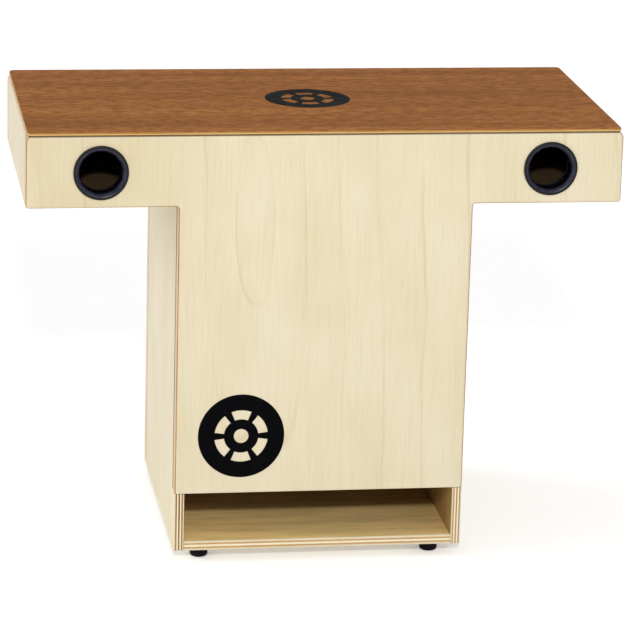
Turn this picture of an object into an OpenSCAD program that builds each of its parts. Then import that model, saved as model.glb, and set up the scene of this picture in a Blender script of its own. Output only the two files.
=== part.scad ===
// T-shaped slap-top cajon: a wide, shallow sound box (the wings) on a narrower column.
// Right is +X, the front face looks towards -Y, and the feet stand on Z = 0.

/* [Box] */
// Width across the two wings
box_w = 535; // [480:1:600]
// Depth from the front face to the back face
box_d = 266; // [230:1:300]
// Height of the box without its feet
box_h = 390.5; // [350:0.5:430]
// Width of the column
col_w = 265; // [230:1:300]
// Height of the wings, top plate included
wing_h = 68; // [64:1:90]

/* [Boards] */
// Thickness of the sides, floors and wing ends
ply = 9; // [8:0.5:10]
// Thickness of the front and back panels
panel_t = 15; // [12:0.5:18]
// Depth of the rebates that hold the wing floors
lap = 4.5; // [3:0.5:6]
// Corner radius of the panels at the ends of the wings
wing_r = 6; // [2:0.5:10]
// Radius in the inner corners of the T and at its lower corners
inner_r = 2.5; // [1:0.5:5]

/* [Playing surface] */
// Thickness of the top plate
top_t = 3; // [2:0.5:5]
// How far the top plate stops short of the outer faces
top_inset = 1.5; // [0.5:0.5:4]
// Corner radius of the top plate
top_r = 5; // [2:0.5:10]

/* [Sound ports] */
// Distance of each port's centre from the middle of the box
port_x = 201.5; // [190:0.5:215]
// Depth of each port's centre below the playing surface
port_drop = 36; // [34:0.5:38]
// Inside radius of the throat
port_r = 18.7; // [16:0.1:19]
// Radius of the mouth, where the flare starts
mouth_r = 22.8; // [21:0.1:23]
// Outside radius of the barrel that goes through the panel
barrel_r = 21.2; // [20.5:0.1:21.5]
// Outside radius of the flange
flange_r = 24.5; // [24:0.1:27]
// Thickness of the flange in front of the panel
flange_t = 1.6; // [1:0.1:3]
// Length of the barrel behind the flange
barrel_l = 21; // [20:0.5:26]

/* [Bass slot] */
// Height of the front panel's lower edge above the underside of the box
slot_top = 54.5; // [40:0.5:70]

/* [Feet] */
// Height of a rubber foot
foot_h = 12.5; // [9:0.5:20]
// Radius of a foot against the box
foot_r = 9; // [8:0.5:12]
// Radius of a foot's flat base
foot_base_r = 6.2; // [6:0.1:8]
// Distance of a foot's centre from the middle of the box
foot_x = 107; // [90:1:112]
// Distance of a foot's centre from the front or back face
foot_y = 22; // [15:1:40]

/* [Snares] */
// Number of wires in each snare
wires = 10; // [6:1:12]
// Distance from one wire to the next
wire_pitch = 4; // [3.5:0.1:4.5]
// Radius of a coiled wire
wire_r = 1.1; // [0.8:0.1:1.4]
// Length of a wire
wire_l = 104; // [80:1:108]

/* [Emblems] */
// Radius of the round emblems on the front and on the top
emblem_r = 39.3; // [30:0.1:45]
// Thickness of the emblem foil
foil_t = 0.2; // [0.1:0.1:0.5]
// Distance of the front emblem's centre from the middle of the box
emblem_x = 72.8; // [60:0.1:80]
// Height of the front emblem's centre above the underside of the box
emblem_z = 108.8; // [100:0.1:250]

/* [Hidden] */
$fn = 96;
base_z = foot_h; // underside of the box
rim_z = foot_h + box_h - top_t; // top of the boards, where the plate lies
top_z = foot_h + box_h; // playing surface
wing_z = top_z - wing_h; // underside of the wings
wing_top_z = wing_z + ply; // upper face of the wing floors
front_y = -box_d / 2;
back_y = box_d / 2;
inside_y = box_d / 2 - panel_t; // inner faces of the panels are at plus and minus this
inside_x = box_w / 2 - ply; // inner faces of the wing ends
shaft_x = col_w / 2 - ply; // inner faces of the column sides
port_z = top_z - port_drop;

port_fit = 0.15; // clearance between a barrel and its hole
ridge_h = 0.9; // snap ridge that holds a collar behind the panel
lip_r = 0.8; // rounding of the flange's rim
flare_l = 7; // length of the flare from mouth to throat

rail = 10; // side of a square rail under the plate
leg = 14; // leg of a triangular corner batten
batten_gap = 3; // how far the front battens stay above the slot

bar_w = 18; // snare bar, across
bar_t = 20; // snare bar, height
bar_top = rim_z - rail; // upper face of the snare bars, which pass under the rails
plate_l = 62; // snare plate, front to back
plate_w = 14; // snare plate, across
plate_t = 0.8; // snare plate, thickness
snare_screw_y = 25; // snare screws, from the middle of the plate
wire_gap = 0.1; // air between a wire's end and the top plate

screw_r = 1.7; // shank of every screw
screw_hole_r = 1.8; // hole for a shank
screw_head_r = 3.2;
screw_head_h = 2;
snare_screw_l = 13;
foot_screw_l = 14;
screw_tip = 3; // length of a screw's point
pilot_h = 6.5; // depth of the pilot holes in the bottom board
foot_bore_r = 4.3; // recess in a foot for washer and screw head
foot_bore_h = 5;
foot_round = 3; // rounding of a foot's lower rim
washer_r = 4;
washer_t = 1;

birch = [0.91, 0.86, 0.74];
birch_edge = [0.78, 0.64, 0.42];
spruce = [0.86, 0.75, 0.55];
mahogany = [0.55, 0.34, 0.2];
black = [0.07, 0.07, 0.09];
steel = [0.72, 0.73, 0.75];

// A rectangle centred in X that stands on Y = 0, with its own radius on the lower and the upper
// corners.
module plate_outline(w, h, low_r, high_r) {
    difference() {
        translate([-w / 2, 0]) square([w, h]);
        for (side = [-1, 1]) {
            translate([side * w / 2, 0]) corner_waste(-side, 1, low_r);
            translate([side * w / 2, h]) corner_waste(-side, -1, high_r);
        }
    }
}

// What a corner loses when it is rounded: dx and dy point from the corner into the sheet.
module corner_waste(dx, dy, r) {
    scale_x = dx > 0 ? 0 : 1;
    scale_y = dy > 0 ? 0 : 1;
    mirror([scale_x, 0]) mirror([0, scale_y]) difference() {
        translate([-1, -1]) square(r + 1);
        translate([r, r]) circle(r);
    }
}

// The T outline of a panel, from low_z to high_z, with filleted inner corners.
module t_outline(low_z, high_z) {
    translate([0, wing_z]) plate_outline(box_w, high_z - wing_z, inner_r, wing_r);
    translate([-col_w / 2, low_z]) square([col_w, wing_z - low_z + 1]);
    for (side = [-1, 1]) {
        translate([side * col_w / 2, wing_z]) corner_fillet(side, inner_r);
    }
}

// The fillet under a wing, where it meets the column.
module corner_fillet(side, r) {
    mirror([side > 0 ? 0 : 1, 0]) difference() {
        translate([-1, -r]) square([r + 1, r + 1]);
        translate([r, -r]) circle(r);
    }
}

// Extrudes an outline drawn in X and Z into a board whose front face is at y and whose
// thickness is t.
module board_xz(y, t) {
    translate([0, y + t, 0]) rotate([90, 0, 0]) linear_extrude(t) children();
}

// A block from its lowest corner to its highest.
module block(low, high) {
    translate(low) cube(high - low);
}

// Puts a part that is drawn for the right-hand side on either side.
module on_side(side) {
    mirror([side < 0 ? 1 : 0, 0, 0]) children();
}

// The playing surface, with a shallow pocket that the top emblem fills flush.
module top_plate() {
    color(mahogany) difference() {
        translate([0, 0, rim_z]) linear_extrude(top_t)
            translate([0, front_y + top_inset])
                plate_outline(box_w - 2 * top_inset, box_d - 2 * top_inset, top_r, top_r);
        translate([0, 0, top_z - foil_t]) cylinder(h = foil_t + 1, r = emblem_r);
    }
}

module front_panel() {
    color(birch)
        difference() {
            board_xz(front_y, panel_t) t_outline(base_z + slot_top, rim_z);
            for (side = [-1, 1]) {
                translate([side * port_x, front_y - 1, port_z]) rotate([-90, 0, 0])
                    cylinder(h = panel_t + 2, r = barrel_r + port_fit);
            }
        }
}

module back_panel() {
    color(birch) board_xz(inside_y, panel_t) t_outline(base_z, rim_z);
}

// A side of the column: full depth beside the slot, notched above it for the front panel, cut
// back for the back panel, and rebated outside at its top for the wing floor.
module column_side(side) {
    color(birch) on_side(side) difference() {
        block([shaft_x, front_y, base_z], [col_w / 2, inside_y, wing_top_z]);
        block([shaft_x - 1, front_y - 1, base_z + slot_top],
            [col_w / 2 + 1, -inside_y, wing_top_z + 1]);
        block([col_w / 2 - lap, front_y - 1, wing_z], [col_w / 2 + 1, back_y, wing_top_z + 1]);
    }
}

module bottom_board() {
    color(birch_edge) difference() {
        block([-shaft_x, front_y, base_z], [shaft_x, inside_y, base_z + ply]);
        foot_places() translate([0, 0, base_z - 1])
            cylinder(h = pilot_h + 1, r = screw_hole_r);
    }
}

// The end of a wing, rebated inside at the bottom for the wing floor.
module wing_end(side) {
    color(birch) on_side(side) difference() {
        block([inside_x, -inside_y, wing_z], [box_w / 2, inside_y, rim_z]);
        block([inside_x - 1, -inside_y - 1, wing_z - 1],
            [inside_x + lap, inside_y + 1, wing_top_z]);
    }
}

module wing_floor(side) {
    color(birch_edge) on_side(side)
        block([col_w / 2 - lap, -inside_y, wing_z], [inside_x + lap, inside_y, wing_top_z]);
}

// A rail along X, glued inside the front (side -1) or back (side 1) panel under the plate.
module long_rail(side) {
    color(spruce) mirror([0, side < 0 ? 1 : 0, 0])
        block([-inside_x, inside_y - rail, rim_z - rail], [inside_x, inside_y, rim_z]);
}

// A rail along Y, glued inside a wing end between the two long rails.
module end_rail(side) {
    color(spruce) on_side(side)
        block([inside_x - rail, rail - inside_y, rim_z - rail],
            [inside_x, inside_y - rail, rim_z]);
}

// A three-sided batten of height h in the corner at x, y; dx and dy point to the corner.
module corner_piece(x, y, z, h, dx, dy) {
    color(spruce) translate([dx * x, dy * y, z]) linear_extrude(h)
        polygon([[0, 0], [-dx * leg, 0], [0, -dy * leg]]);
}

// A batten in a corner of the column. The front ones stop above the bass slot.
module batten(dx, dy) {
    low_z = dy < 0 ? base_z + slot_top + batten_gap : base_z + ply;
    corner_piece(shaft_x, inside_y, low_z, wing_top_z - low_z, dx, dy);
}

// A block in an outer corner of a wing, under the rails.
module wing_block(dx, dy) {
    corner_piece(inside_x, inside_y, wing_top_z, rim_z - rail - wing_top_z, dx, dy);
}

// One half of a port collar's section: rounded flange, flared mouth, barrel and snap ridge.
// X is the radius and Y runs from the front of the flange towards the inside of the box.
module collar_section() {
    ridge_y = flange_t + panel_t + 0.3;
    flare_r = mouth_r - port_r;
    difference() {
        union() {
            translate([port_r, 0]) square([flange_r - lip_r - port_r, flange_t]);
            translate([port_r, lip_r]) square([flange_r - port_r, flange_t - lip_r]);
            translate([flange_r - lip_r, lip_r]) circle(lip_r);
            translate([port_r, 0]) square([barrel_r - port_r, flange_t + barrel_l]);
            polygon([
                [barrel_r, ridge_y], [barrel_r + ridge_h, ridge_y],
                [barrel_r, ridge_y + 3 * ridge_h]
            ]);
        }
        polygon([
            for (i = [0:12])
                [mouth_r - flare_r * sin(i * 7.5), flare_l * (1 - cos(i * 7.5))],
            [port_r - 1, flare_l], [port_r - 1, -1], [mouth_r, -1]
        ]);
    }
}

module port_collar(side) {
    color(black) translate([side * port_x, front_y - flange_t, port_z]) rotate([-90, 0, 0])
        rotate_extrude() collar_section();
}

// A bar across the box, between the front and back panels, that carries a snare.
module snare_bar(side) {
    color(spruce) on_side(side) difference() {
        block([col_w / 2 - bar_w / 2 - lap, -inside_y, bar_top - bar_t],
            [col_w / 2 + bar_w / 2 - lap, inside_y, bar_top]);
        snare_screw_places() translate([0, 0, -snare_screw_l])
            cylinder(h = snare_screw_l + 1, r = screw_hole_r);
    }
}

// Where the snare screws of the right-hand snare go: on the bar's upper face.
module snare_screw_places() {
    for (dy = [-1, 1]) {
        translate([col_w / 2 - lap, dy * snare_screw_y, bar_top]) children();
    }
}

module snare_plate(side) {
    color(steel) on_side(side) difference() {
        block([col_w / 2 - lap - plate_w / 2, -plate_l / 2, bar_top],
            [col_w / 2 - lap + plate_w / 2, plate_l / 2, bar_top + plate_t]);
        snare_screw_places() translate([0, 0, -1]) cylinder(h = plate_t + 2, r = screw_hole_r);
    }
}

// The wires of one snare: they start on the plate and rise until they bear on the top plate.
module snare_wires(side) {
    low_z = bar_top + plate_t + wire_r + wire_gap;
    rise = rim_z - wire_r - wire_gap - low_z;
    tilt = asin(rise / wire_l);
    color(steel) on_side(side)
        for (i = [0:wires - 1]) {
            translate([col_w / 2 - lap - 4, (i - (wires - 1) / 2) * wire_pitch, low_z])
                rotate([0, 90 - tilt, 0]) cylinder(h = wire_l, r = wire_r, $fn = 24);
        }
}

// A pan-head screw whose head sits on Z = 0 and whose shank of length l points down.
module screw(l) {
    cylinder(h = screw_head_h, r1 = screw_head_r, r2 = screw_head_r - 0.9);
    translate([0, 0, screw_tip - l]) cylinder(h = l - screw_tip, r = screw_r);
    translate([0, 0, -l]) cylinder(h = screw_tip, r1 = 0, r2 = screw_r);
}

module snare_screws() {
    color(steel) for (side = [-1, 1]) {
        on_side(side) snare_screw_places() translate([0, 0, plate_t]) screw(snare_screw_l - 1);
    }
}

// The four places of the feet, each at its centre on the ground.
module foot_places() {
    for (dx = [-1, 1], dy = [-1, 1]) {
        foot_place(dx, dy) children();
    }
}

module foot_place(dx, dy) {
    translate([dx * foot_x, dy * (box_d / 2 - foot_y), 0]) children();
}

// A tapered rubber bumper with a rounded lower rim, recessed from below for its screw.
module foot(dx, dy) {
    wall_r = foot_base_r + foot_round;
    color(black) foot_place(dx, dy) difference() {
        rotate_extrude() union() {
            square([foot_base_r, foot_h]);
            intersection() {
                polygon([
                    [0, 0], [wall_r - 0.9, 0], [foot_r, foot_h], [0, foot_h]
                ]);
                union() {
                    translate([0, foot_round]) square([wall_r, foot_h - foot_round]);
                    translate([foot_base_r - 0.2, foot_round]) circle(foot_round);
                }
            }
        }
        translate([0, 0, -1]) cylinder(h = foot_bore_h + 1, r = foot_bore_r);
        cylinder(h = foot_h + 1, r = screw_hole_r);
    }
}

module foot_washers() {
    color(steel) foot_places() translate([0, 0, foot_bore_h - washer_t]) difference() {
        cylinder(h = washer_t, r = washer_r);
        translate([0, 0, -1]) cylinder(h = washer_t + 2, r = screw_hole_r);
    }
}

module foot_screws() {
    color(steel) foot_places() translate([0, 0, foot_bore_h - washer_t]) mirror([0, 0, 1])
        screw(foot_screw_l);
}

module front_emblem() {
    color(black) translate([-emblem_x, front_y, base_z + emblem_z]) rotate([90, 0, 0])
        cylinder(h = foil_t, r = emblem_r);
}

module top_emblem() {
    color(black) translate([0, 0, top_z - foil_t]) cylinder(h = foil_t, r = emblem_r);
}

top_plate();
front_panel();
back_panel();
column_side(-1);  // left_column_side
column_side(1);  // right_column_side
bottom_board();
wing_end(-1);  // left_wing_end
wing_end(1);  // right_wing_end
wing_floor(-1);  // left_wing_floor
wing_floor(1);  // right_wing_floor
long_rail(-1);  // front_top_rail
long_rail(1);  // back_top_rail
end_rail(-1);  // left_top_rail
end_rail(1);  // right_top_rail
batten(-1, -1);  // front_left_batten
batten(1, -1);  // front_right_batten
batten(-1, 1);  // back_left_batten
batten(1, 1);  // back_right_batten
wing_block(-1, -1);  // front_left_block
wing_block(1, -1);  // front_right_block
wing_block(-1, 1);  // back_left_block
wing_block(1, 1);  // back_right_block
port_collar(-1);  // left_port_collar
port_collar(1);  // right_port_collar
snare_bar(-1);  // left_snare_bar
snare_bar(1);  // right_snare_bar
snare_plate(-1);  // left_snare_plate
snare_plate(1);  // right_snare_plate
snare_wires(-1);  // left_snare_wires
snare_wires(1);  // right_snare_wires
snare_screws();
foot(-1, -1);  // front_left_foot
foot(1, -1);  // front_right_foot
foot(-1, 1);  // back_left_foot
foot(1, 1);  // back_right_foot
foot_washers();
foot_screws();
front_emblem();
top_emblem();
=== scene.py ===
"""T-shaped slap-top cajon: birch box with a mahogany playing surface, two port collars, rubber
feet, glued-in rails and battens, and two sets of snare wires under the top plate."""
import math

import bmesh
import bpy
from mathutils import Matrix, Vector


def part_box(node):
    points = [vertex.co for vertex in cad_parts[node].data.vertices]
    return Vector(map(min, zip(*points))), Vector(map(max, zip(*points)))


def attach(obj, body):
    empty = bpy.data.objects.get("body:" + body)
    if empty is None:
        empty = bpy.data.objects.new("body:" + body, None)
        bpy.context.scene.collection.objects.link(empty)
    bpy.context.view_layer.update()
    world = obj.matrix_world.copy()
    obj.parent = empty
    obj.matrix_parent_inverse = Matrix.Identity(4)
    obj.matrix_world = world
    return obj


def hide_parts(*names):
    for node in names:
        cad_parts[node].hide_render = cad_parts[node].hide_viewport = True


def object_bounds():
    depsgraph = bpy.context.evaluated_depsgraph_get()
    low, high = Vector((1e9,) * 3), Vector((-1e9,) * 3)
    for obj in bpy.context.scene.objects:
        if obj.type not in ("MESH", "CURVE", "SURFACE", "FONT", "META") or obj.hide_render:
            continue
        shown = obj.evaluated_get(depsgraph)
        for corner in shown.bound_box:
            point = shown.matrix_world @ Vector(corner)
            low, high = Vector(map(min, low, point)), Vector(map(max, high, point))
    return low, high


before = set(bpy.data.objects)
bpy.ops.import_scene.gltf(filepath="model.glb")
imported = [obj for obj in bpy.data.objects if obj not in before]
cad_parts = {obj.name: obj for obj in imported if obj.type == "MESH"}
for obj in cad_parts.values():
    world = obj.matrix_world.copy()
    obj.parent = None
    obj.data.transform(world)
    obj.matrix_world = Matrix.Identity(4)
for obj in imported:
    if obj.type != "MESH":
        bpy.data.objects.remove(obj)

CAD_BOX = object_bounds()
MM = 0.001
WELD = 0.00001
X, Y, Z = range(3)

# Places that several parts share, from the frame
LOW, HIGH = CAD_BOX
PANEL_LOW, PANEL_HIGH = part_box("front_panel")
BACK_LOW, BACK_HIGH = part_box("back_panel")
SIDE_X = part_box("right_column_side")[1].x
WING_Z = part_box("right_wing_end")[0].z
FACE_Y = PANEL_LOW.y
REAR_Y = BACK_HIGH.y

# Radius of rounded edges: on the panels and the column's corners, beside the panels, under the
# plate, on all other wood, and on metal
ROUND_OVER = 3.0 * MM
SEAM_EASE = 2.0 * MM
RIM_EASE = 1.2 * MM
EASE = 0.5 * MM
METAL_EASE = 0.15 * MM
ROUND_STEPS = 5

# Corners of the panels and of the top plate, as in the frame
WING_R = 6.0 * MM
INNER_R = 2.5 * MM
PLATE_R = 5.0 * MM

# Port collars and their holes
PORT_HOLE_R = 21.35 * MM
BARREL_R = 21.2 * MM
MOUTH_R = 22.8 * MM
THROAT_R = 18.7 * MM

# Plywood
VENEER = 0.6 * MM
PANEL_PLIES = 11
BOARD_PLIES = 7
FLOOR_PLIES = 5

# Snare coils, each a wire of radius WIRE_GAUGE wound about COIL_R
WIRES = 10
WIRE_R = 1.1 * MM
WIRE_TURNS = 32
COIL_STEPS = 10
COIL_R = WIRE_R - 0.32 * MM
WIRE_GAUGE = 0.3 * MM


# ---------------------------------------------------------------- materials

class Shader:
    """One material's node tree. Each call adds a node and returns its output socket."""

    def __init__(self, name):
        self.material = bpy.data.materials.new(name)
        self.material.use_nodes = True
        self.tree = self.material.node_tree
        self.tree.nodes.clear()
        self.bsdf = self.node("BsdfPrincipled")
        output = self.node("OutputMaterial")
        self.tree.links.new(self.bsdf.outputs[0], output.inputs["Surface"])
        self.place = self.node("TexCoord").outputs["Object"]
        parts = self.node("SeparateXYZ", {0: self.place})
        self.axis = [parts.outputs[i] for i in range(3)]

    def node(self, kind, inputs=None, **settings):
        made = self.tree.nodes.new("ShaderNode" + kind)
        for key, value in settings.items():
            setattr(made, key, value)
        for key, value in (inputs or {}).items():
            self.feed(made.inputs[key], value)
        return made

    def feed(self, socket, value):
        if isinstance(value, bpy.types.NodeSocket):
            self.tree.links.new(value, socket)
        else:
            socket.default_value = value

    def math(self, operation, *values):
        return self.node("Math", dict(enumerate(values)), operation=operation).outputs[0]

    def vector(self, x, y, z):
        return self.node("CombineXYZ", {0: x, 1: y, 2: z}).outputs[0]

    def stretched(self, along, across, along_scale, across_scale, third):
        """A place for noise whose features run along where along_scale is the smaller."""
        return self.vector(self.math("MULTIPLY", along, along_scale),
                           self.math("MULTIPLY", across, across_scale), third)

    def noise(self, place, scale=1.0, detail=2.0, rough=0.5, distortion=0.0):
        settings = {"Vector": place, "Scale": scale, "Detail": detail, "Roughness": rough,
                    "Distortion": distortion}
        return self.node("TexNoise", settings).outputs["Fac"]

    def spread(self, value, low, high, start=0.0, end=1.0, smooth=True):
        """value, from low..high to start..end, clamped."""
        kind = "SMOOTHSTEP" if smooth else "LINEAR"
        inputs = {"Value": value, "From Min": low, "From Max": high,
                  "To Min": start, "To Max": end}
        return self.node("MapRange", inputs, interpolation_type=kind).outputs["Result"]

    def mix(self, factor, a, b, blend="MIX"):
        made = self.node("Mix", data_type="RGBA", blend_type=blend)
        for index, value in ((0, factor), (6, a), (7, b)):
            self.feed(made.inputs[index], value)
        return made.outputs[2]

    def bump(self, height, strength, distance):
        inputs = {"Height": height, "Strength": strength, "Distance": distance}
        self.feed(self.bsdf.inputs["Normal"], self.node("Bump", inputs).outputs[0])

    def finish(self, colour, roughness, **sockets):
        self.feed(self.bsdf.inputs["Base Color"], colour)
        self.feed(self.bsdf.inputs["Roughness"], roughness)
        for name, value in sockets.items():
            self.feed(self.bsdf.inputs[name.replace("_", " ")], value)
        return self.material


def srgb(red, green, blue):
    """A colour as it looks on a screen, 0 to 255, as linear values."""
    parts = [v / 255 for v in (red, green, blue)]
    return [v / 12.92 if v < 0.04045 else ((v + 0.055) / 1.055) ** 2.4 for v in parts] + [1.0]


CREAM = srgb(206, 196, 170)
CREAM_WARM = srgb(201, 190, 160)
GROWTH_LINE = srgb(186, 164, 118)
PLY_BROWN = srgb(112, 70, 28)
PLY_GOLD = srgb(150, 104, 44)
PLY_TAN = srgb(186, 150, 98)
PLY_CREAM = srgb(220, 211, 180)
PORE = srgb(84, 52, 24)
GLUE = srgb(120, 84, 44)
# The colour of painted shade in the seams between parts
SEAM_SHADE = srgb(66, 52, 36)

# What the colour turns to towards the front panel's left end: darker and yellower
WARM = (0.93, 0.905, 0.84, 1.0)

# What the inside, left without lacquer, does to the colour of the veneer: the first tint is bare
# birch tan and painted shade that darkens the interior together, and the pale one is bare tan for
# the slot's floor
RAW_TINT_AND_SHADE = (0.80, 0.54, 0.28, 1.0)
RAW_PALE = (1.50, 1.22, 0.73, 1.0)
STAIN = 0.82
# Painted shade for the upper faces of the wing floors
WING_FLOOR_SHADE = (0.20, 0.145, 0.10, 1.0)


def grain_axes(shader, grain, through):
    """Sockets along the grain, across it, and through the board."""
    across = 3 - grain - through
    return shader.axis[grain], shader.axis[across], shader.axis[through]


def straight_field(shader, along, across, seed):
    """A value that grows by 1 from one growth line to the next, on a quarter-sawn face."""
    place = shader.stretched(along, across, 1.6, 9.0, seed)
    drift = shader.noise(place, 1.0, 2.0, 0.45)
    return shader.math("MULTIPLY_ADD", drift, 3.4, shader.math("MULTIPLY", across, 52.0))


def cathedral_field(shader, along, across, seed):
    """The same on a flat-sawn face: long ovals round a point, straight lines far from it."""
    centre_across, centre_along = -0.0635, 0.322
    half_width, half_length = 0.0176, 0.078
    place = shader.stretched(along, across, 6.0, 13.0, seed)
    drift = shader.math("MULTIPLY_ADD", shader.noise(place, 1.0, 4.0, 0.5), 0.018, -0.009)
    up = shader.math("SUBTRACT", along, centre_along)
    side = shader.math("SUBTRACT", shader.math("ADD", across, drift), centre_across)
    side = shader.math("MULTIPLY_ADD", up, 0.04, side)
    side = shader.math("DIVIDE", side, half_width)
    length = shader.math("DIVIDE", up, half_length)
    side = shader.math("MULTIPLY", side, side)
    length = shader.math("MULTIPLY", length, length)
    length = shader.math("DIVIDE", length, shader.math("MULTIPLY_ADD", side, 0.3, 1.0))
    return shader.math("POWER", shader.math("ADD", side, length), 0.375)


def birch_face(shader, along, across, field, seed):
    """The colour of a birch face veneer, and a height for its bump."""
    turn = shader.math("FRACT", field)
    near = shader.math("MINIMUM", turn, shader.math("SUBTRACT", 1.0, turn))
    line = shader.spread(near, 0.0, 0.055, 1.0, 0.0)
    late = shader.math("POWER", turn, 4.0)
    fade_place = shader.stretched(along, across, 7.0, 30.0, seed + 3.1)
    fade = shader.spread(shader.noise(fade_place, 1.0, 2.0), 0.36, 0.66, 0.15, 1.0)
    growth = shader.math("MULTIPLY", shader.math("MULTIPLY_ADD", late, 0.30, line), fade)
    fibre_place = shader.stretched(along, across, 22.0, 700.0, seed + 5.7)
    fibre = shader.noise(fibre_place, 1.0, 3.0, 0.6)
    fleck_place = shader.stretched(along, across, 90.0, 1500.0, seed + 8.3)
    fleck = shader.noise(fleck_place, 1.0, 1.0, 0.5)
    cloud_place = shader.stretched(along, across, 9.0, 16.0, seed + 1.9)
    cloud = shader.noise(cloud_place, 1.0, 2.0, 0.55)
    colour = shader.mix(shader.spread(cloud, 0.3, 0.7), CREAM, CREAM_WARM)
    colour = shader.mix(shader.math("MULTIPLY", growth, 0.42), colour, GROWTH_LINE)
    colour = shader.mix(shader.spread(fibre, 0.42, 0.75, 0.0, 0.24), colour, GROWTH_LINE)
    colour = shader.mix(shader.spread(fleck, 0.6, 0.8, 0.0, 0.14), colour, PLY_TAN)
    height = shader.math("ADD", shader.math("MULTIPLY", fibre, 0.7),
                         shader.math("MULTIPLY", fleck, 0.3))
    return colour, height


def ply_edge(shader, face_colour, along, across, depth, veneer, pitch, brown, share=0.0,
             cream=PLY_CREAM):
    """Face colour on the veneer, and the plies where an edge or a round-over cuts deeper.
    share above 0 makes the brown plies thicker than the cream ones."""
    step = shader.math("DIVIDE", shader.math("SUBTRACT", depth, veneer), pitch)
    wave = shader.math("SINE", shader.math("MULTIPLY", step, math.pi))
    dark = shader.spread(wave, -0.18 - share, 0.18 - share)
    end_place = shader.stretched(along, across, 260.0, 260.0,
                                 shader.math("MULTIPLY", depth, 1500.0))
    pores = shader.noise(end_place, 1.0, 3.0, 0.65)
    drift_place = shader.stretched(along, across, 24.0, 24.0,
                                   shader.math("MULTIPLY", depth, 300.0))
    tone = shader.spread(shader.noise(drift_place, 1.0, 2.0), 0.35, 0.65, 0.0, 0.45)
    brown_ply = shader.mix(tone, brown, PLY_TAN)
    brown_ply = shader.mix(shader.spread(pores, 0.55, 0.75, 0.0, 0.6), brown_ply, PORE)
    cream_ply = shader.mix(shader.spread(pores, 0.5, 0.8, 0.0, 0.3), cream, PLY_TAN)
    plies = shader.mix(dark, cream_ply, brown_ply)
    glue = shader.spread(shader.math("ABSOLUTE", wave), 0.0, 0.16, 0.35, 0.0)
    plies = shader.mix(glue, plies, GLUE)
    inside = shader.spread(step, -0.1, 0.1)
    return shader.mix(inside, face_colour, plies)


def birch_ply(name, grain, through, low, high, plies, seed, veneer=VENEER, brown=PLY_BROWN,
              share=0.0, field=straight_field, inside=0, inside_tint=RAW_TINT_AND_SHADE, front=None, seam_shade=None,
              warm=None):
    """Lacquered birch plywood whose plies lie across the axis `through`, from low to high.
    inside is 1 or -1 where the face on that side is left unlacquered and takes the tint given for
    it (bare birch tan on the bottom board, painted shade on the wing floors, and both on the
    other boards), except on an end that shows at y = front, and the seam mask adds painted shade
    along a seam. Across the grain, the colour turns darker and yellower below the first value of
    warm, and fades to plain at the second."""
    shader = Shader(name)
    along, across, deep = grain_axes(shader, grain, through)
    colour, height = birch_face(shader, along, across, field(shader, along, across, seed), seed)
    if warm:
        colour = shader.mix(shader.spread(across, *warm, 1.0, 0.0), colour, WARM, "MULTIPLY")
    middle, half = (low + high) / 2, (high - low) / 2
    offset = shader.math("SUBTRACT", deep, middle)
    # Unlacquered inside faces take the tint given, which holds painted shade as well on all but
    # the bottom board
    if inside:
        rear = shader.spread(shader.math("MULTIPLY", offset, inside), 0.0, half)
        if front is not None:
            behind = shader.spread(shader.axis[Y], front + 0.3 * MM, front + 0.7 * MM)
            rear = shader.math("MULTIPLY", rear, behind)
        stain_place = shader.stretched(along, across, 14.0, 85.0, seed + 4.4)
        stain = shader.spread(shader.noise(stain_place, 1.0, 3.0, 0.6, 0.3), 0.35, 0.65)
        darker = [value * STAIN for value in inside_tint[:3]] + [1.0]
        colour = shader.mix(rear, colour, shader.mix(stain, inside_tint, darker), "MULTIPLY")
    depth = shader.math("SUBTRACT", half, shader.math("ABSOLUTE", offset))
    pitch = (half - veneer) / (plies / 2 - 1)
    colour = ply_edge(shader, colour, along, across, depth, veneer, pitch, brown, share)
    # Painted shade along a seam, where the mask given is high
    if seam_shade:
        colour = shader.mix(seam_shade(shader), colour, SEAM_SHADE)
    shader.bump(height, 0.12, 0.0002)
    roughness = shader.spread(height, 0.3, 0.7, 0.42, 0.56)
    return shader.finish(colour, roughness, Specular_IOR_Level=0.35)


def side_seam_shade(shader):
    """Painted shade in the grooves beside the front and back panels."""
    y, z = shader.axis[Y], shader.axis[Z]
    front = shader.spread(y, PANEL_HIGH.y + 1.0 * MM, PANEL_HIGH.y + 3.8 * MM, 0.92, 0.0)
    front = shader.math("MULTIPLY", front,
                        shader.spread(z, PANEL_LOW.z - 0.2 * MM, PANEL_LOW.z + 0.2 * MM))
    rear = shader.spread(y, BACK_LOW.y - 3.2 * MM, BACK_LOW.y - 0.8 * MM, 0.0, 0.9)
    return shader.math("MAXIMUM", front, rear)


def rim_seam_shade(shader):
    """Painted shade in the joint under the playing surface."""
    z = shader.axis[Z]
    return shader.spread(z, PANEL_HIGH.z - 1.3 * MM, PANEL_HIGH.z - 0.5 * MM, 0.0, 0.8)


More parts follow.
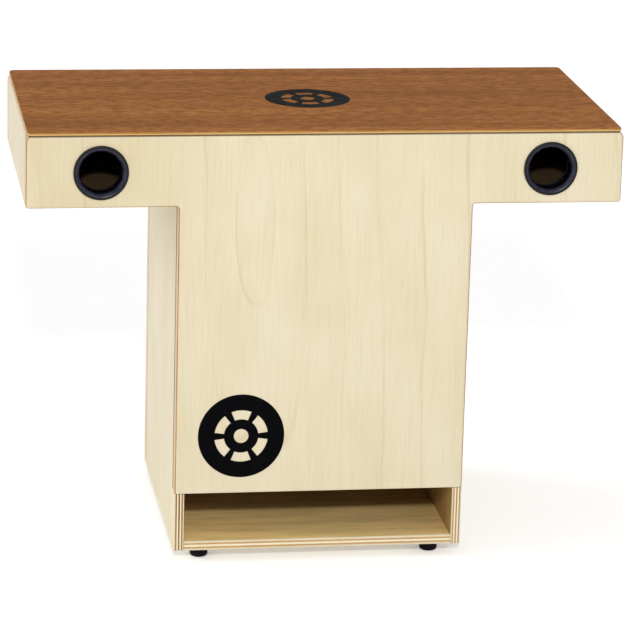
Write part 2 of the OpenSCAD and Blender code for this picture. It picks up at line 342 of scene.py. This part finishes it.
def mahogany(high):
    """Satin mahogany veneer on a thin birch core; the grain runs along X. The core is painted
    paler at the plate's left and right ends than at its front and back, a painted highlight.
    """
    shader = Shader("mahogany_veneer")
    x, y, z = shader.axis

    def figure(along, across, seed, detail):
        return shader.noise(shader.stretched(x, y, along, across, seed), 1.0, detail, 0.6)

    band = figure(1.3, 26.0, 2.0, 3.0)
    mottle = figure(75.0, 170.0, 7.0, 2.0)
    streak = figure(28.0, 520.0, 11.0, 3.0)
    dash = figure(130.0, 560.0, 23.0, 1.0)
    pores = figure(150.0, 2600.0, 17.0, 1.0)
    colour = shader.mix(shader.spread(band, 0.32, 0.68), srgb(139, 86, 42), srgb(171, 111, 56))
    colour = shader.mix(shader.spread(mottle, 0.36, 0.68, 0.0, 0.60), colour, srgb(114, 67, 30))
    colour = shader.mix(shader.spread(streak, 0.42, 0.75, 0.0, 0.45), colour, srgb(186, 124, 66))
    colour = shader.mix(shader.spread(dash, 0.56, 0.72, 0.0, 0.60), colour, srgb(92, 52, 24))
    pore_mask = shader.spread(pores, 0.6, 0.72, 0.0, 0.5)
    colour = shader.mix(pore_mask, colour, srgb(70, 36, 16))
    depth = shader.math("SUBTRACT", high.z, z)
    # Painted highlight: the core's cream plies are paler on the plate's left and right ends
    lit_end = shader.spread(shader.math("ABSOLUTE", x), high.x - 1.2 * MM, high.x - 0.6 * MM)
    cream = shader.mix(lit_end, srgb(204, 170, 112), srgb(226, 216, 186))
    core = ply_edge(shader, srgb(158, 118, 62), x, y, shader.math("SUBTRACT", depth, 0.5 * MM),
                    0.3 * MM, 0.75 * MM, srgb(156, 114, 58), cream=cream)
    colour = shader.mix(shader.spread(depth, 0.42 * MM, 0.58 * MM), colour, core)
    height = shader.math("SUBTRACT", shader.math("MULTIPLY", streak, 0.5), pore_mask)
    shader.bump(height, 0.25, 0.00015)
    return shader.finish(colour, shader.spread(mottle, 0.3, 0.7, 0.5, 0.64),
                         Specular_IOR_Level=0.06)


def softwood(name, grain, seed):
    """Planed spruce: straight growth rings in end grain and on the faces."""
    shader = Shader(name)
    others = [i for i in range(3) if i != grain]
    along, a, b = shader.axis[grain], shader.axis[others[0]], shader.axis[others[1]]
    place = shader.vector(shader.math("MULTIPLY", along, 2.0), a, b)
    drift = shader.noise(place, 9.0, 2.0)
    radius = shader.math("SQRT", shader.math("ADD",
                         shader.math("POWER", shader.math("ADD", a, 0.11 + 0.01 * seed), 2.0),
                         shader.math("POWER", shader.math("ADD", b, 0.05), 2.0)))
    rings = shader.math("FRACT", shader.math("MULTIPLY_ADD", radius, 420.0,
                                             shader.math("MULTIPLY", drift, 2.4)))
    late = shader.math("POWER", rings, 3.0)
    fibre_place = shader.vector(shader.math("MULTIPLY", along, 25.0),
                                shader.math("MULTIPLY", a, 900.0),
                                shader.math("MULTIPLY", b, 900.0))
    fibre = shader.noise(fibre_place, 1.0, 2.0, 0.6)
    colour = shader.mix(late, srgb(224, 196, 148), srgb(190, 142, 86))
    colour = shader.mix(shader.spread(fibre, 0.4, 0.75, 0.0, 0.3), colour, srgb(180, 138, 88))
    shader.bump(fibre, 0.2, 0.0002)
    return shader.finish(colour, shader.spread(fibre, 0.3, 0.7, 0.55, 0.72))


def collar_plastic():
    """Moulded black plastic: a glossy black rim and throat, and a mouth painted satin blue-grey
    as a painted sheen.
    """
    shader = Shader("collar_plastic")
    low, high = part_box("right_port_collar")
    middle = (low + high) / 2
    across = shader.math("SUBTRACT", shader.math("ABSOLUTE", shader.axis[X]), middle.x)
    up = shader.math("SUBTRACT", shader.axis[Z], middle.z)
    radius = shader.math("SQRT", shader.math("ADD", shader.math("MULTIPLY", across, across),
                                             shader.math("MULTIPLY", up, up)))
    ripple = shader.noise(shader.place, 160.0, 2.0, 0.5)
    grain = shader.noise(shader.place, 3000.0, 2.0, 0.6)
    # The mouth's lighter blue-grey is a painted sheen on the black plastic
    mouth = shader.mix(shader.spread(ripple, 0.3, 0.7), srgb(32, 31, 45), srgb(46, 45, 62))
    rim = shader.spread(radius, MOUTH_R - 1.0 * MM, MOUTH_R - 0.3 * MM)
    throat = shader.spread(radius, THROAT_R + 0.3 * MM, THROAT_R + 0.9 * MM, 1.0, 0.0)
    colour = shader.mix(shader.math("MAXIMUM", rim, throat), mouth, srgb(6, 6, 8))
    shader.bump(grain, 0.08, 0.0001)
    return shader.finish(colour, shader.spread(ripple, 0.3, 0.7, 0.24, 0.32),
                         Specular_IOR_Level=0.22)


def rubber():
    """Dull black rubber with a little dust and a moulded texture."""
    shader = Shader("foot_rubber")
    dust = shader.noise(shader.place, 420.0, 4.0, 0.7)
    grain = shader.noise(shader.place, 2600.0, 2.0, 0.6)
    colour = shader.mix(shader.spread(dust, 0.45, 0.8), srgb(4, 4, 5), srgb(16, 16, 15))
    shader.bump(grain, 0.3, 0.0002)
    return shader.finish(colour, shader.spread(dust, 0.3, 0.7, 0.6, 0.8),
                         Specular_IOR_Level=0.12)


def foil():
    """The printed emblem film: black, smooth, with a slight orange-peel."""
    shader = Shader("emblem_film")
    peel = shader.noise(shader.place, 900.0, 2.0, 0.5)
    wear = shader.noise(shader.place, 130.0, 4.0, 0.7)
    colour = shader.mix(shader.spread(wear, 0.5, 0.8), srgb(3, 3, 5), srgb(9, 9, 12))
    shader.bump(peel, 0.05, 0.0001)
    return shader.finish(colour, shader.spread(wear, 0.3, 0.7, 0.38, 0.5),
                         Specular_IOR_Level=0.03)


def metal(name, light, dark, rough_low, rough_high, scale):
    """Plated metal with fine scratches and a slightly uneven sheen."""
    shader = Shader(name)
    patch = shader.noise(shader.place, scale, 3.0, 0.6)
    scratch = shader.noise(shader.place, scale * 12, 3.0, 0.7)
    colour = shader.mix(shader.spread(patch, 0.3, 0.7), light, dark)
    shader.bump(scratch, 0.06, 0.00005)
    roughness = shader.spread(scratch, 0.3, 0.7, rough_low, rough_high)
    return shader.finish(colour, roughness, Metallic=1.0)


# ---------------------------------------------------------------- meshes

def add_piece(name, bm, material, slot, *nodes, crisp=35):
    """Makes an object of a bmesh, and lets it stand for its CAD nodes. Edges sharper than
    crisp degrees stay crisp."""
    mesh = bpy.data.meshes.new(name)
    bmesh.ops.recalc_face_normals(bm, faces=bm.faces)
    sharpen(bm, crisp)
    bm.to_mesh(mesh)
    bm.free()
    mesh.materials.append(material)
    piece = bpy.data.objects.new(name, mesh)
    bpy.context.scene.collection.objects.link(piece)
    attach(piece, "root")
    if nodes:
        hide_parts(*nodes)
    return piece


def on_plane(edge, axis, value):
    """Whether an edge lies in the plane across an axis at value."""
    return all(abs(v.co[axis] - value) < WELD for v in edge.verts)


def cad_piece(node, name, material, slot, radius_of=None, ease=EASE):
    """The CAD node's own shape, welded and cleaned, with every sharp edge rounded or eased.
    radius_of gives the radius of each edge; without it they all get ease."""
    bm = bmesh.new()
    bm.from_mesh(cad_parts[node].data)
    bmesh.ops.remove_doubles(bm, verts=bm.verts, dist=WELD)
    bmesh.ops.dissolve_limit(bm, angle_limit=math.radians(1), verts=bm.verts, edges=bm.edges,
                             delimit=set())
    weight = bm.edges.layers.float.new("bevel_weight_edge")
    for edge in bm.edges:
        if len(edge.link_faces) == 2 and edge.calc_face_angle() > math.radians(40):
            radius = radius_of(edge) if radius_of else ease
            edge[weight] = min(1.0, radius / ROUND_OVER)
    for face in bm.faces:
        face.smooth = True
    piece = add_piece(name, bm, material, slot, node, crisp=180)
    bevel = piece.modifiers.new("round_over", "BEVEL")
    bevel.limit_method = "WEIGHT"
    bevel.width = ROUND_OVER
    bevel.segments = ROUND_STEPS
    bevel.use_clamp_overlap = False
    bevel.harden_normals = True
    return piece


def lathe(name, outline, axis, centre, material, slot, nodes, steps=96, closed=True):
    """Turns an outline of (radius, distance along the axis) about an axis through centre."""
    bm = bmesh.new()
    rings = []
    u, v = [(Y, Z), (Z, X), (X, Y)][axis]
    for radius, distance in outline:
        ring = []
        for i in range(steps if radius > WELD else 1):
            angle = 2 * math.pi * i / steps
            point = Vector(centre)
            point[axis] += distance
            point[u] += radius * math.cos(angle)
            point[v] += radius * math.sin(angle)
            ring.append(bm.verts.new(point))
        rings.append(ring)
    pairs = list(zip(rings, rings[1:]))
    if closed:
        pairs.append((rings[-1], rings[0]))
    for a, b in pairs:
        for i in range(steps):
            j = (i + 1) % steps
            corners = [a[i % len(a)], a[j % len(a)], b[j % len(b)], b[i % len(b)]]
            corners = list(dict.fromkeys(corners))
            if len(corners) > 2:
                bm.faces.new(corners).smooth = True
    return add_piece(name, bm, material, slot, *nodes)


def rounded_rim(corners, steps=8):
    """Points round a closed outline, counter-clockwise, of (u, v, corner radius, round-over)
    corners; the round-over is that of the edge that leaves the corner, and a negative radius
    marks an inner corner. Each point comes with its full inset and its round-over."""
    rim = []
    for i, (u, v, radius, leaving) in enumerate(corners):
        arriving = corners[i - 1][3]
        here = Vector((u, v))
        a = (here - Vector(corners[i - 1][:2])).normalized()
        b = (Vector(corners[(i + 1) % len(corners)][:2]) - here).normalized()
        inward_a, inward_b = Vector((-a.y, a.x)), Vector((-b.y, b.x))
        if radius == 0.0:
            rim.append((here, inward_a * arriving + inward_b * leaving, max(arriving, leaving)))
            continue
        turn = 1 if radius > 0 else -1
        size = abs(radius)
        centre = here - a * size + inward_a * size * turn
        for k in range(steps + 1):
            angle = math.pi / 2 * k / steps
            inward = inward_a * math.cos(angle) + inward_b * math.sin(angle)
            over = arriving + (leaving - arriving) * k / steps
            if turn > 0:
                over = min(over, 0.9 * size)
            rim.append((centre - inward * size * turn, inward * over, over))
    return rim


def circle(u, v, radius, steps):
    """A loop of points round (u, v)."""
    return [Vector((u + radius * math.cos(2 * math.pi * i / steps),
                    v + radius * math.sin(2 * math.pi * i / steps))) for i in range(steps)]


def circle_rim(u, v, radius, steps, over):
    """A round rim for slab, with the same round-over all the way."""
    return [(p, (Vector((u, v)) - p).normalized() * over, over)
            for p in circle(u, v, radius, steps)]


def slab(front, back, axis, near, far, holes=()):
    """A board between two planes across an axis, with rounded rims. Each hole is a loop of
    points and a depth, or None where it goes right through."""
    bm = bmesh.new()
    u_axis, v_axis = [i for i in range(3) if i != axis]
    inwards = 1 if far > near else -1

    def ring(points, w):
        made = []
        for point, drop in points:
            place = [0.0] * 3
            place[u_axis], place[v_axis] = point
            place[axis] = w + drop
            made.append(bm.verts.new(place))
        return made

    def bridge(a, b):
        for i, vert in enumerate(a):
            bm.faces.new((a[i - 1], vert, b[i], b[i - 1])).smooth = True

    def loop_edges(loop):
        return [bm.edges.get((loop[i - 1], vert)) for i, vert in enumerate(loop)]

    rings = []
    for rim, plane, way in ((front, near, inwards), (back, far, -inwards)):
        made = []
        for k in range(ROUND_STEPS + 1):
            angle = math.pi / 2 * k / ROUND_STEPS
            made.append(ring([(p + inset * (1 - math.sin(angle)),
                               way * over * (1 - math.cos(angle)))
                              for p, inset, over in rim], plane))
        rings.append(made)
    sheets = rings[0] + rings[1][::-1]
    for a, b in zip(sheets, sheets[1:]):
        bridge(a, b)
    near_edges, far_edges = loop_edges(sheets[0]), loop_edges(sheets[-1])
    for loop, depth in holes:
        top = ring([(p, 0.0) for p in loop], near)
        bottom = ring([(p, 0.0) for p in loop],
                      far if depth is None else near + inwards * depth)
        bridge(top, bottom)
        near_edges += loop_edges(top)
        if depth is None:
            far_edges += loop_edges(bottom)
        else:
            bm.faces.new(bottom)
    for edges in (near_edges, far_edges):
        bmesh.ops.triangle_fill(bm, edges=edges, use_beauty=True)
    return bm


def sharpen(bm, degrees):
    """Marks the edges that stay crisp."""
    for edge in bm.edges:
        if len(edge.link_faces) == 2 and edge.calc_face_angle(0.0) > math.radians(degrees):
            edge.smooth = False


# ---------------------------------------------------------------- wooden parts

def t_rim(low, high, bottom, column, wing, top):
    """The rim of a T-shaped panel, with the round-overs of its edges."""
    side = SIDE_X
    return rounded_rim([
        (-side, low.z, 0.0, bottom), (side, low.z, 0.0, column),
        (side, WING_Z, -INNER_R, wing), (high.x, WING_Z, INNER_R, wing),
        (high.x, high.z, WING_R, top), (low.x, high.z, WING_R, wing),
        (low.x, WING_Z, INNER_R, wing), (-side, WING_Z, -INNER_R, column),
    ])


def build_panels():
    """The T-shaped front panel with its two port holes, and the back panel."""
    ports = []
    for side in ("left", "right"):
        low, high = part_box(f"{side}_port_collar")
        centre = (low + high) / 2
        ports.append((circle(centre.x, centre.z, PORT_HOLE_R, 96), None))
    panel = birch_ply("birch_front", Z, Y, FACE_Y, PANEL_HIGH.y, PANEL_PLIES, 1.0,
                      brown=PLY_GOLD, share=0.15, field=cathedral_field, inside=1,
                      seam_shade=rim_seam_shade, warm=(LOW.x + 0.03, LOW.x + 0.20))
    outside = t_rim(PANEL_LOW, PANEL_HIGH, EASE, ROUND_OVER, ROUND_OVER, RIM_EASE)
    inside = t_rim(PANEL_LOW, PANEL_HIGH, EASE, ROUND_OVER, EASE, EASE)
    bm = slab(outside, inside, Y, FACE_Y, PANEL_HIGH.y, ports)
    add_piece("front_board", bm, panel, "birch_panel", "front_panel")
    rear = birch_ply("birch_back", Z, Y, BACK_LOW.y, REAR_Y, PANEL_PLIES, 21.0,
                     brown=PLY_GOLD, inside=-1, seam_shade=rim_seam_shade)
    outside = t_rim(BACK_LOW, BACK_HIGH, ROUND_OVER, ROUND_OVER, ROUND_OVER, RIM_EASE)
    inside = t_rim(BACK_LOW, BACK_HIGH, EASE, ROUND_OVER, EASE, EASE)
    bm = slab(outside, inside, Y, REAR_Y, BACK_LOW.y)
    add_piece("back_board", bm, rear, "birch_panel", "back_panel")


def build_plate():
    """The playing surface, with the shallow pocket for its emblem."""
    low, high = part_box("top_plate")

    def rim(ease):
        return rounded_rim([(low.x, low.y, PLATE_R, ease), (high.x, low.y, PLATE_R, ease),
                            (high.x, high.y, PLATE_R, ease), (low.x, high.y, PLATE_R, ease)])

    emblem_low, emblem_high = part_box("top_emblem")
    pocket = circle(0.0, 0.0, (emblem_high.x - emblem_low.x) / 2 + 0.02 * MM, 96)
    bm = slab(rim(0.8 * MM), rim(0.3 * MM), Z, high.z, low.z,
              [(pocket, high.z - emblem_low.z)])
    add_piece("playing_board", bm, mahogany(high), "mahogany", "top_plate")


def build_sides():
    """The column's two sides and the two wing ends."""
    build_column_side("left", 31.0, PLY_BROWN, 0.2)
    build_column_side("right", 38.0, srgb(150, 112, 66), -0.1)
    build_wing_end("left", 45.0)
    build_wing_end("right", 52.0)


def build_column_side(side, seed, brown, share):
    """A side of the column. Its bare ply edge shows beside the slot."""
    node = f"{side}_column_side"
    low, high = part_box(node)
    outer = max(low.x, high.x, key=abs)
    inwards = -1 if outer > 0 else 1
    material = birch_ply(f"birch_{side}_column", Z, X, low.x, high.x, BOARD_PLIES, seed,
                         veneer=1.1 * MM, brown=brown, share=share, inside=inwards,
                         front=low.y, seam_shade=side_seam_shade)

    def radius_of(edge):
        if not on_plane(edge, X, outer):
            return EASE
        if on_plane(edge, Y, low.y):
            return ROUND_OVER
        if on_plane(edge, Y, PANEL_HIGH.y) or on_plane(edge, Y, high.y):
            return SEAM_EASE
        return EASE

    cad_piece(node, f"{side}_column_board", material, "birch_board", radius_of)


def build_wing_end(side, seed):
    """The end of a wing, rounded most along its outer upper edge."""
    node = f"{side}_wing_end"
    low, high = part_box(node)
    outer = max(low.x, high.x, key=abs)
    inwards = -1 if outer > 0 else 1
    material = birch_ply(f"birch_{side}_end", Z, X, low.x, high.x, BOARD_PLIES, seed,
                         veneer=0.9 * MM, brown=srgb(204, 182, 140), inside=inwards)

    def radius_of(edge):
        return 2.4 * MM if on_plane(edge, X, outer) and on_plane(edge, Z, high.z) else EASE

    cad_piece(node, f"{side}_wing_board", material, "birch_board", radius_of)


def build_floors():
    """The bottom board, whose unlacquered upper face shows in the slot, and the two wing floors,
    whose upper faces carry painted shade.
    """
    low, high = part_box("bottom_board")
    bottom = birch_ply("birch_bottom", X, Z, low.z, high.z, FLOOR_PLIES, 51.0,
                       veneer=1.8 * MM, brown=srgb(176, 136, 84), share=-0.15, inside=1,
                       inside_tint=RAW_PALE, front=low.y)

    def radius_of(edge):
        ends = on_plane(edge, X, low.x) or on_plane(edge, X, high.x)
        return 1.0 * MM if ends else EASE

    cad_piece("bottom_board", "base_board", bottom, "birch_board", radius_of)
    for number, side in enumerate(("left", "right")):
        low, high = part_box(f"{side}_wing_floor")
        # The wing floors' upper faces are darkened as painted shade
        material = birch_ply(f"birch_{side}_floor", X, Z, low.z, high.z, BOARD_PLIES,
                             61.0 + 5 * number, veneer=0.9 * MM, inside=1, inside_tint=WING_FLOOR_SHADE)
        cad_piece(f"{side}_wing_floor", f"{side}_wing_base", material, "birch_board")


def build_framing():
    """Rails, battens, blocks and snare bars, all softwood."""
    grain_of = {"top_rail": X, "batten": Z, "block": Z, "snare_bar": Y}
    finish = {axis: softwood(f"spruce_{'xyz'[axis]}", axis, axis) for axis in (X, Y, Z)}
    for node in sorted(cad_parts):
        kind = next((k for k in grain_of if node.endswith(k)), None)
        if kind is None:
            continue
        grain = grain_of[kind]
        if node in ("left_top_rail", "right_top_rail"):
            grain = Y
        cad_piece(node, f"{node}_wood", finish[grain], "spruce")


# ---------------------------------------------------------------- ports, feet and emblems

def collar_outline(length, flange):
    """A collar's section: flared mouth, throat whose bore widens to the rear, barrel with its
    snap ridge, and flange. Each point is a radius and a distance behind the flange's face."""
    lip, flange_t, flare = 0.8 * MM, 1.6 * MM, 7.0 * MM
    ridge, ridge_at, end_ease = 0.9 * MM, 16.9 * MM, 0.6 * MM
    flare_steps, lip_steps = 12, 6
    points = []
    for i in range(flare_steps + 1):
        a = math.radians(90 * i / flare_steps)
        points.append((MOUTH_R - (MOUTH_R - THROAT_R) * math.sin(a),
                       flare * (1 - math.cos(a))))
    points += [(BARREL_R - 1.4 * MM, length - end_ease), (BARREL_R - 0.9 * MM, length),
               (BARREL_R - end_ease, length), (BARREL_R, length - end_ease),
               (BARREL_R, ridge_at + 3 * ridge), (BARREL_R + ridge, ridge_at),
               (BARREL_R, ridge_at), (BARREL_R, flange_t), (flange, flange_t)]
    for i in range(lip_steps + 1):
        a = math.radians(90 * i / lip_steps)
        points.append((flange - lip + lip * math.cos(a), lip - lip * math.sin(a)))
    return points


def build_collars():
    """The moulded rings in the two sound ports."""
    plastic = collar_plastic()
    for side in ("left", "right"):
        low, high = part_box(f"{side}_port_collar")
        centre = (low + high) / 2
        outline = collar_outline(high.y - low.y, (high.x - low.x) / 2)
        lathe(f"{side}_port_ring", outline, Y, (centre.x, low.y, centre.z), plastic,
              "black_plastic", [f"{side}_port_collar"], 128)


def foot_outline(height):
    """A foot's section: tapered, with a rounded lower rim and a stepped bore."""
    top, base, rim = 9.0 * MM, 4.9 * MM, 4.0 * MM
    bore, bore_h, hole = 4.3 * MM, 5.0 * MM, 1.8 * MM
    rim_steps = 8
    wall = base + rim - 0.9 * MM
    points = [(hole, height), (top - 0.4 * MM, height), (top, height - 0.4 * MM)]
    lean = (top - wall) / height
    for i in range(rim_steps + 1):
        a = math.radians(90 * i / rim_steps)
        z = rim * (1 - math.sin(a))
        r = base + rim * math.cos(a)
        points.append((min(r, wall + lean * z), z))
    points += [(bore + 0.3 * MM, 0), (bore, 0.3 * MM), (bore, bore_h), (hole, bore_h)]
    return points


def build_feet():
    """The four rubber feet with their washers and screws, and the snares' screws."""
    black = rubber()
    zinc = metal("zinc_steel", srgb(190, 192, 196), srgb(160, 162, 168), 0.28, 0.42, 300.0)
    for node in sorted(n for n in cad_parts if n.endswith("_foot")):
        low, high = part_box(node)
        centre = (low + high) / 2
        lathe(f"{node}_rubber", foot_outline(high.z - low.z), Z,
              (centre.x, centre.y, low.z), black, "rubber", [node], 64)
    for node in ("foot_washers", "foot_screws", "snare_screws"):
        cad_piece(node, f"{node}_steel", zinc, "screw_steel", ease=METAL_EASE)


def helix(bm, start, way, length, turns, radius, gauge):
    """A coiled wire round a straight line, as a thin four-sided tube."""
    side = way.orthogonal().normalized()
    other = way.cross(side)
    steps = round(turns * COIL_STEPS)
    last = None
    for i in range(steps + 1):
        angle = 2 * math.pi * i / COIL_STEPS
        out = side * math.cos(angle) + other * math.sin(angle)
        centre = start + way * (gauge + (length - 2 * gauge) * i / steps) + out * radius
        ring = [bm.verts.new(centre + offset * gauge) for offset in (out, way, -out, -way)]
        if last:
            for k in range(4):
                bm.faces.new((last[k - 1], last[k], ring[k], ring[k - 1])).smooth = True
        else:
            bm.faces.new(ring)
        last = ring
    bm.faces.new(last[::-1])


def build_snares():
    """Coiled wires that start on a steel plate and rise until they bear on the top plate."""
    steel = metal("snare_steel", srgb(205, 200, 190), srgb(170, 165, 158), 0.2, 0.32, 250.0)
    for side, sign in (("left", -1), ("right", 1)):
        plate = f"{side}_snare_plate"
        cad_piece(plate, f"{plate}_steel", steel, "snare_plate", ease=METAL_EASE)
        low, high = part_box(f"{side}_snare_wires")
        inner, outer = sorted((low.x, high.x), key=abs)
        rise = Vector((outer - inner, 0.0, high.z - low.z - 2 * WIRE_R))
        way = rise.normalized()
        lean = WIRE_R * Vector((sign * way.z, 0.0, way.x))
        bm = bmesh.new()
        for i in range(WIRES):
            y = low.y + WIRE_R + (high.y - low.y - 2 * WIRE_R) * i / (WIRES - 1)
            start = Vector((inner, y, low.z)) + lean
            length = rise.length - 2 * abs(lean.x)
            helix(bm, start, way, length, WIRE_TURNS, COIL_R, WIRE_GAUGE)
        add_piece(f"{side}_snare_coils", bm, steel, "snare_wire", f"{side}_snare_wires", crisp=60)


def arc_band(inner, outer, start, sweep, steps=14):
    """A loop round a piece of a ring about the origin."""
    loop = []
    for radius, way in ((outer, 1), (inner, -1)):
        for i in range(steps + 1):
            t = i / steps if way > 0 else 1 - i / steps
            angle = math.radians(start + sweep * t)
            loop.append(Vector((radius * math.cos(angle), radius * math.sin(angle))))
    return loop


def emblem_cuts(radius):
    """A generic badge: a broken ring round a round centre, cut out of the film."""
    cuts = [circle(0.0, 0.0, 0.17 * radius, 40)]
    for i in range(6):
        cuts.append(arc_band(0.40 * radius, 0.62 * radius, 60 * i + 8, 44))
    return cuts


def build_emblems():
    """The two printed discs."""
    film = foil()
    for node, axis in (("front_emblem", Y), ("top_emblem", Z)):
        low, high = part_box(node)
        centre = (low + high) / 2
        radius = (high.x - low.x) / 2
        others = [i for i in range(3) if i != axis]
        middle = Vector([centre[i] for i in others])
        cuts = [([p + middle for p in loop], None) for loop in emblem_cuts(radius)]
        rim = circle_rim(middle.x, middle.y, radius, 96, 0.04 * MM)
        near, far = (low[axis], high[axis]) if axis == Y else (high[axis], low[axis])
        bm = slab(rim, rim, axis, near, far, cuts)
        add_piece(f"{node}_film", bm, film, "emblem_foil", node)


# ---------------------------------------------------------------- scene

# Strength of the surround and of the floor's own glow
WORLD = 0.43
FLOOR_GLOW = 0.26
FLOOR_HALF = 30.0

# The lamp above the camera: size, power, and its azimuth, elevation and distance
KEY_RADIUS = 0.12
KEY_POWER = 281.0
KEY_PLACE = (-7.5, 26.5, 4.0)

# Azimuth, elevation, width in degrees and strength of each distant soft light
SOFTBOXES = (
    ("right_softbox", 35.0, 25.0, 35.0, 0.2),
    ("left_softbox", -100.0, 18.0, 50.0, 1.62),
    ("top_softbox", 0.0, 80.0, 70.0, 0.5),
)

# The camera, and the point it aims at, from the middle of the object
LENS, SENSOR = 191.45, 36.0
CAMERA_AZIMUTH, CAMERA_ELEVATION, CAMERA_ROLL = -8.937, 16.170, 1.566
CAMERA_DISTANCE = 3.117
AIM_OFFSET = (0.00995, -0.00216, -0.00352)


def build_stage():
    """A pale studio floor, the surround and the lamps."""
    bm = bmesh.new()
    corners = [bm.verts.new((x * FLOOR_HALF, y * FLOOR_HALF, LOW.z)) for x, y in
               ((-1, -1), (1, -1), (1, 1), (-1, 1))]
    bm.faces.new(corners)
    mesh = bpy.data.meshes.new("studio_floor")
    bm.to_mesh(mesh)
    bm.free()
    floor = bpy.data.objects.new("studio_floor", mesh)
    bpy.context.scene.collection.objects.link(floor)
    shader = Shader("floor_paper")
    tone = shader.noise(shader.place, 3.0, 2.0)
    colour = shader.mix(tone, srgb(250, 250, 250), srgb(246, 246, 247))
    mesh.materials.append(shader.finish(colour, 0.8, Specular_IOR_Level=0.1,
                                        Emission_Color=(1.0, 1.0, 1.0, 1.0),
                                        Emission_Strength=FLOOR_GLOW))
    world = bpy.data.worlds.new("studio")
    world.use_nodes = True
    world.node_tree.nodes["Background"].inputs["Color"].default_value = (1, 1, 1, 1)
    world.node_tree.nodes["Background"].inputs["Strength"].default_value = WORLD
    bpy.context.scene.world = world
    for name, azimuth, elevation, angle, strength in SOFTBOXES:
        add_softbox(name, azimuth, elevation, angle, strength)
    add_key(*KEY_PLACE)


def direction(azimuth, elevation):
    """The way from the object to something in front of it, turned by two angles in degrees."""
    a, e = math.radians(azimuth), math.radians(elevation)
    return Vector((math.sin(a) * math.cos(e), -math.cos(a) * math.cos(e), math.sin(e)))


def aim_light(name, data, azimuth, elevation, distance):
    """Puts a light on the sphere round the object's centre, facing it."""
    light = bpy.data.objects.new(name, data)
    back = direction(azimuth, elevation)
    light.location = (LOW + HIGH) / 2 + back * distance
    light.rotation_mode = "QUATERNION"
    light.rotation_quaternion = (-back).to_track_quat("-Z", "Y")
    bpy.context.scene.collection.objects.link(light)


def add_softbox(name, azimuth, elevation, angle, strength):
    """A distant soft light that looks angle degrees wide from the object."""
    data = bpy.data.lights.new(name, "SUN")
    data.angle = math.radians(angle)
    data.energy = strength
    aim_light(name, data, azimuth, elevation, 3.0)


def add_key(azimuth, elevation, distance):
    """The lamp above the camera that lights the front, the slot's floor and the ports."""
    data = bpy.data.lights.new("key", "POINT")
    data.shadow_soft_size = KEY_RADIUS
    data.energy = KEY_POWER
    aim_light("key", data, azimuth, elevation, distance)


def build_camera():
    """A plain camera at the viewing angle, with no lens shift."""
    data = bpy.data.cameras.new("camera")
    data.lens = LENS
    data.sensor_width = SENSOR
    data.clip_start = 0.1
    data.clip_end = 50.0
    camera = bpy.data.objects.new("camera", data)
    back = direction(CAMERA_AZIMUTH, CAMERA_ELEVATION)
    aim = Vector((0.0, 0.0, (LOW.z + HIGH.z) / 2)) + Vector(AIM_OFFSET)
    camera.location = aim + back * CAMERA_DISTANCE
    camera.rotation_mode = "QUATERNION"
    roll = Matrix.Rotation(math.radians(CAMERA_ROLL), 4, "Z").to_quaternion()
    camera.rotation_quaternion = (-back).to_track_quat("-Z", "Y") @ roll
    bpy.context.scene.collection.objects.link(camera)
    bpy.context.scene.camera = camera


build_camera()
build_panels()
build_plate()
build_sides()
build_floors()
build_framing()
build_collars()
build_feet()
build_snares()
build_emblems()
build_stage()
bpy.context.scene.view_settings.view_transform = "Standard"
